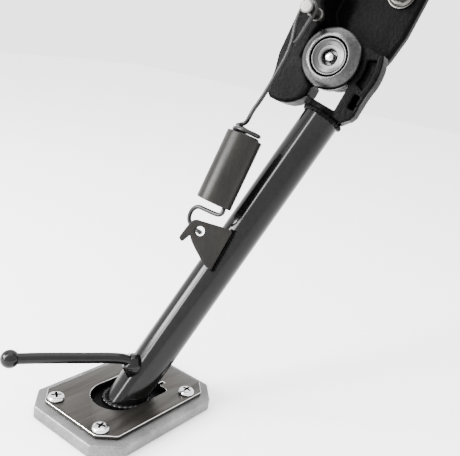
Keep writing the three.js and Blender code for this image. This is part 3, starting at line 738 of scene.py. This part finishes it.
# %% [markdown]
# ## Sleeve
# A tough plastic sleeve keeps the coil from rattling on the tube. It is a turned ring with soft
# lips, and its scratches run along its length.

# %% Sleeve
sleeve_profile = rounded([(12.2, -155), (13.5, -155), (13.5, -101.5), (12.2, -101.5)], 0.6)
sleeve_profile = [(12.2, -130)] + sleeve_profile + [(12.2, -130)]
hand_over(lathe("spring_cover", sleeve_profile, 128), SPRING, "spring_upper", "sleeve_black", "spring_sleeve")

# %% [markdown]
# ## Kick lever
# The rider's boot pushes a short bent rod with a ball on its end. The rod uses the same tree as
# the wire, and the ball is turned.

# %% Kick lever
LEVER = [(-74.6, 41.2, 46.8), (-71.6, 39.2, 46.8), (-62, 32.6, 47), (-48, 23.2, 46.8), (-32, 12.4, 46.4),
         (-18, 3, 46), (-9.4, -2.4, 44.6), (-5.4, -4.6, 41.2), (-4.6, -5, 36.2)]
lever = grow(path_object("lever_rod", LEVER), ROD, "gloss_black", Radius=3.95, Steps=140, Sides=40)
hand_over(lever, GROUND, "leg", "gloss_black", "kick_lever_rod")
BALL_R = 6.55
globe = [(0, -BALL_R)] + [
    (BALL_R * math.cos(a), BALL_R * math.sin(a)) for a in (math.radians(-90 + 5 * k) for k in range(1, 36))
] + [(0, BALL_R)]
ball_place = GROUND @ Matrix.Translation((-76.4, 42.4, 46.8))
hand_over(lathe("lever_ball", globe, 72), ball_place, "leg", "gloss_black", "kick_lever_ball")

# %% [markdown]
# ## Welds
# A weld bead is a row of frozen ripples. The tree sweeps a circle along the seam, swells it in even
# waves and pushes its skin about with fixed noise, so no two ripples are alike.

# %% Weld tree
def weld_tree():
    tree, given = node_tree("weld_bead", {
        "Radius": 2.0, "Ripples": 20.0, "Swell": 0.18, "Roughness": 0.5, "Steps": 240, "Seed": 3.0,
    })
    path = put(tree, "GeometryNodeMeshToCurve", {"Mesh": given["Geometry"]})
    smooth = put(tree, "GeometryNodeCurveSplineType", {"Curve": path.outputs[0]}, spline_type="CATMULL_ROM")
    even = put(tree, "GeometryNodeResampleCurve", {"Curve": smooth.outputs[0], "Count": given["Steps"]})
    along_seam = put(tree, "GeometryNodeSplineParameter")
    turns = put(tree, "ShaderNodeMath", {0: along_seam.outputs["Factor"], 1: given["Ripples"]},
                operation="MULTIPLY")
    angle = put(tree, "ShaderNodeMath", {0: turns.outputs[0], 1: 2 * math.pi}, operation="MULTIPLY")
    wave = put(tree, "ShaderNodeMath", {0: angle.outputs[0]}, operation="SINE")
    swell = put(tree, "ShaderNodeMath", {0: wave.outputs[0], 1: given["Swell"]}, operation="MULTIPLY")
    scale = put(tree, "ShaderNodeMath", {0: swell.outputs[0], 1: 1.0}, operation="ADD")
    section = put(tree, "GeometryNodeCurvePrimitiveCircle", {"Resolution": 18, "Radius": given["Radius"]})
    swept = put(tree, "GeometryNodeCurveToMesh", {
        "Curve": even.outputs[0], "Profile Curve": section.outputs[0], "Scale": scale.outputs[0],
        "Fill Caps": True,
    })
    noise = put(tree, "ShaderNodeTexNoise", {"W": given["Seed"], "Scale": 0.28, "Detail": 3.0},
                noise_dimensions="4D")
    centred = put(tree, "ShaderNodeMath", {0: noise.outputs["Fac"], 1: 0.5}, operation="SUBTRACT")
    push = put(tree, "ShaderNodeMath", {0: centred.outputs[0], 1: given["Roughness"]}, operation="MULTIPLY")
    normal = put(tree, "GeometryNodeInputNormal")
    offset = put(tree, "ShaderNodeVectorMath", {0: normal.outputs[0], "Scale": push.outputs[0]},
                 operation="SCALE")
    moved = put(tree, "GeometryNodeSetPosition", {"Geometry": swept.outputs[0], "Offset": offset.outputs[0]})
    return close_tree(tree, given, moved.outputs[0])


WELD = weld_tree()
tube_in_ground = GROUND.inverted() @ TUBE


def ring_on_tube(radius, height, count=60):
    return [
        (radius * math.cos(2 * math.pi * k / count), radius * math.sin(2 * math.pi * k / count), height)
        for k in range(count)
    ]


def ring_at_foot(radius, level, count=60):
    """Points round the tube where its skin, grown to radius, meets a level plane."""
    points = []
    for x, y, _ in ring_on_tube(radius, 0, count):
        base = tube_in_ground @ Vector((x, y, 0))
        top_point = tube_in_ground @ Vector((x, y, 1))
        slope = top_point - base
        points.append(base + slope * ((level - base.z) / slope.z))
    return points


foot_bead = grow(path_object("foot_weld_bead", ring_at_foot(TUBE_R + 0.5, 8.9), True), WELD, "gloss_black",
                 Radius=1.7, Ripples=26.0, Swell=0.16, Roughness=0.7, Steps=360, Seed=1.0)
hand_over(foot_bead, GROUND, "leg", "gloss_black", "foot_weld")
head_bead = grow(path_object("head_weld_bead", ring_on_tube(TUBE_R + 0.3, TUBE_TOP - 1.5), True), WELD,
                 "cast_black", Radius=1.8, Ripples=30.0, Swell=0.07, Roughness=2.6, Steps=420, Seed=2.0)
hand_over(head_bead, TUBE, "leg", "cast_black", "head_weld")

# %% Lever and hook plate welds
LUMP = [(-4, -5.6, 29.5), (-3.6, -5.6, 35.5), (-3, -5.2, 41.5), (-2.4, -4.4, 47.5)]
lump = grow(path_object("lever_weld_lump", LUMP), WELD, "gloss_black",
            Radius=2.4, Ripples=0.5, Swell=2.1, Roughness=2.2, Steps=120, Seed=5.0)
hand_over(lump, GROUND, "leg", "gloss_black", "lever_weld")
seam = [(5, 104, 14.2), (3, 116, 14.8), (1.6, 128, 14.8), (0.8, 138, 14.2)]
seam_bead = grow(path_object("hook_plate_bead", seam), WELD, "cast_black",
                 Radius=2.0, Ripples=14.0, Swell=0.22, Roughness=1.2, Steps=200, Seed=7.0)
hand_over(seam_bead, HOOK_PLATE, "leg", "cast_black", "hook_plate_weld")

# %% [markdown]
# ## Spring hook plate
# The spring's lower hook goes through a hole in a small plate welded to the tube. Its finger
# guides the wire. The edges are broken so that they catch the light.

# %% Spring hook plate
PLATE_EDGE = [
    (1.5, 137.6), (6.5, 137.6), (11.8, 135.4), (20, 131.4), (26.2, 127.8), (28.9, 125.2),
    (31, 133), (34.6, 131.6), (34.2, 120.5), (33.6, 116), (31.8, 113.4), (11.6, 106.6), (4.6, 105),
]
ear = plate("hook_ear", [soft_corners(PLATE_EDGE, 1.6), circle(24.4, 118.8, 3.6)], 14.6, 18.4, 0.5)
hand_over(ear, HOOK_PLATE, "leg", "sleeve_black", "spring_hook_plate")

# %% [markdown]
# ## Castings
# The leg's head and the frame bracket are castings: every edge is rounded and the skin is slightly
# uneven. A voxel remesh melts the crisp CAD copy into one skin and a smoothing pass rounds it off,
# which would be slow to do edge by edge.

# %% Castings
def cast_copy(name, node, voxel, passes):
    """A softened copy of a CAD node. voxel is in millimetres."""
    obj = bpy.data.objects.new(name, frame["nodes"][node].data.copy())
    bpy.context.scene.collection.objects.link(obj)
    merged(obj, 1e-6)
    skin = obj.modifiers.new("skin", "REMESH")
    skin.mode = "VOXEL"
    skin.voxel_size = voxel * MM
    soft = obj.modifiers.new("soft", "SMOOTH")
    soft.factor = 0.5
    soft.iterations = passes
    return applied(obj)


head_casting = cast_copy("head_casting", "leg_head", 0.6, 4)
hand_over(head_casting, Matrix.Identity(4), "leg", "cast_black", "leg_head")
bracket_casting = cast_copy("bracket_casting", "pivot_bracket", 0.8, 5)
hand_over(bracket_casting, Matrix.Identity(4), "bracket", "cast_black", "pivot_bracket")

# %% [markdown]
# ## Boss
# The domed boss round the pivot is machined after casting, so it gets a turned gunmetal skin of its
# own just outside the casting. A narrow groove parts it from the bolt's head.

# %% Boss
boss_profile = [(14.2, 12.2), (14.2, 17.6), (14.8, 18.25), (16.7, 17.95), (19.3, 16.75), (21.7, 14.3),
                (22.75, 11.5), (22.75, 9.1), (22, 9.0), (14.2, 12.2)]
boss_curve = rounded(boss_profile[:-1], 1.2, 6)[1:]
boss = lathe("boss_skin", [boss_profile[0]] + boss_curve + [boss_profile[-1]], 128)
hand_over(boss, SWING, "leg", "dark_steel", skin=GUNMETAL)

# %% [markdown]
# ## Pivot bolt
# The bolt's wide head is dished and brushed in circles, with a rounded rim and a deep socket. A small bright
# ball sits in the socket.

# %% Pivot bolt
bolt_profile = [(0, -31), (5, -31), (6, -30), (6, 12.3), (13.3, 12.3), (13.3, 17.0), (12.9, 17.45),
                (12.1, 17.4), (11.4, 16.7), (8.4, 16.0), (6.3, 15.9), (5.6, 15.2), (5.6, 10.05), (0, 10.05)]
pivot_screw = lathe("pivot_screw", rounded(bolt_profile, 0.35), 128)
hand_over(pivot_screw, SWING, "bracket", "dark_steel", "pivot_bolt")
plug_profile = rounded([(0, 10.3), (3.5, 10.3), (3.5, 15.2), (3.1, 16.6), (1.9, 17.5), (0, 17.8)], 0.8)
hand_over(lathe("socket_ball", plug_profile, 64), SWING, "bracket", "bright_steel", "bolt_plug")

# %% [markdown]
# ## Small turned parts
# Bush, washers and the spring's anchor post are plain turned pieces. Only their edges show, so the
# profiles have small rounded corners.

# %% Small turned parts
def turned_ring(name, inner, outer, low, high, look, place, body, covered):
    corners = rounded([(inner, low), (outer, low), (outer, high), (inner, high)], 0.25)
    middle = (inner, (low + high) / 2)
    hand_over(lathe(name, [middle] + corners + [middle], 72), place, body, look, covered)


turned_ring("bush", 6.3, 9.2, -7.2, 2.2, "bronze", SWING, "bracket", "pivot_bush")
turned_ring("outer_thrust_ring", 6.3, 16, 2.5, 3.7, "bronze", SWING, "bracket", "thrust_washer_outer")
turned_ring("inner_thrust_ring", 6.3, 16, -8.7, -7.5, "bronze", SWING, "bracket", "thrust_washer_inner")
turned_ring("nut_washer", 6.3, 12, -18.3, -16.3, "plated_steel", SWING, "bracket", "pivot_washer")
POST = [(0, 5.3), (5, 5.3), (5, 9), (4, 10), (4, 19.4), (2.9, 20.6), (2.9, 27.2), (5, 28), (5, 29.6),
        (4.2, 30.4), (0, 30.4)]
post_place = SWING @ Matrix.Translation((ANCHOR.x, ANCHOR.y, 0))
hand_over(lathe("spring_post", rounded(POST, 0.4), 64), post_place, "bracket", "plated_steel", "anchor_post")

# %% [markdown]
# ## Nut and frame bolts
# A hexagon is a plate with rounded corners and edges, for the nut as for the bolts' heads. The two
# frame bolts are one bolt set on two points by the same tree as the screws.

# %% Nut and frame bolts
def hexagon(across_flats, low, high):
    radius = across_flats / math.sqrt(3)
    corners = [(radius * math.cos(k * math.pi / 3), radius * math.sin(k * math.pi / 3)) for k in range(6)]
    return plate("hexagon", [soft_corners(corners, 0.5)], low, high, 0.5)


def joined(name, *objects):
    bm = bmesh.new()
    for obj in objects:
        bm.from_mesh(obj.data)
        bpy.data.objects.remove(obj)
    mesh = bpy.data.meshes.new(name)
    bm.to_mesh(mesh)
    bm.free()
    obj = bpy.data.objects.new(name, mesh)
    bpy.context.scene.collection.objects.link(obj)
    return obj


nut = carved(hexagon(19, -28.3, -18.6), lathe("nut_bore", [(0, -60), (6.3, -60), (6.3, 20), (0, 20)], 64))
nut.name = "pivot_locknut"
hand_over(nut, SWING, "bracket", "plated_steel", "pivot_nut")
flange = [(0, -48), (4, -48), (5, -47), (5, -21.4), (9.6, -21.4), (9.6, -20.2), (8, -19), (0, -19)]
washer_ring = [(5.3, -23), (5.3, -23.7), (10.5, -23.7), (10.5, -21.7), (5.3, -21.7), (5.3, -23)]
frame_bolt = joined("frame_bolt", lathe("flange", rounded(flange, 0.3), 64), hexagon(13, -20.4, -12.4),
                    lathe("washer", washer_ring, 64))
bolt_spots = path_object("frame_bolts", [(-27, 65, 0), (9, 65, 0)])
bolts = grow(bolt_spots, SCATTER, "plated_steel", **{"Object": frame_bolt, "Turn": 0.3, "Turn step": 0.9})
bpy.data.objects.remove(frame_bolt)
hand_over(bolts, SWING, "bracket", "plated_steel",
          "frame_bolt_1", "frame_bolt_2", "frame_washer_1", "frame_washer_2")

# %% [markdown]
# ## Floor, light and camera
# The stand is shown on a plain pale floor. A tall narrow lamp on the left draws the sharp white
# line down the black tube, and large soft lamps fill the rest.

# %% Floor
bpy.ops.mesh.primitive_plane_add(size=6)
floor = bpy.context.object
floor.name = "floor"
paper = finish("paper", grey(0.88), grey(0.9), (0.9, 0.8), 0.0, 40, 0.001)
glow = paper.node_tree.nodes["Principled BSDF"].inputs
glow["Emission Color"].default_value = (1, 1, 1, 1)
glow["Emission Strength"].default_value = 0.55
floor.data.materials.append(paper)
floor.data.transform(Matrix.Translation((0, 0, -0.0005)))
print("floor laid")

# %% Light
def lamp(name, place, aim, width, height, power):
    data = bpy.data.lights.new(name, "AREA")
    data.shape = "RECTANGLE"
    data.size = width
    data.size_y = height
    data.energy = power
    obj = bpy.data.objects.new(name, data)
    bpy.context.scene.collection.objects.link(obj)
    obj.location = place
    obj.rotation_euler = (Vector(aim) - Vector(place)).to_track_quat("-Z", "Y").to_euler()
    return obj


CENTRE = (0.04, -0.02, 0.17)
lamp("sky_panel", (0.1, 0.1, 1.6), CENTRE, 1.2, 1.2, 14)
lamp("key_panel", (-1.1, 0.9, 0.7), CENTRE, 0.6, 0.6, 75)
lamp("left_strip", (-0.9, 0.32, 0.75), CENTRE, 0.16, 1.4, 34)
world = bpy.data.worlds.new("studio")
world.use_nodes = True
world.node_tree.nodes["Background"].inputs["Color"].default_value = (1, 1, 1, 1)
world.node_tree.nodes["Background"].inputs["Strength"].default_value = 2.9
bpy.context.scene.world = world
print("lamps set")

# %% Camera
camera_data = bpy.data.cameras.new("camera")
camera_data.sensor_width = 36
camera_data.lens = 49.6
camera_data.clip_start = 0.01
camera = bpy.data.objects.new("camera", camera_data)
bpy.context.scene.collection.objects.link(camera)
ahead = Vector((0.789, 0.544, -0.284)).normalized()
right = Vector((0.5987, -0.7848, 0.159))
right = (right - ahead * right.dot(ahead)).normalized()
up = right.cross(ahead)
turned_camera = Matrix((right, up, -ahead)).transposed().to_4x4()
camera.matrix_world = Matrix.Translation((-0.31975, -0.2902, 0.28207)) @ turned_camera
bpy.context.scene.camera = camera
print("camera at", tuple(round(c, 3) for c in camera.location))

print(len(made_pieces), "pieces made")
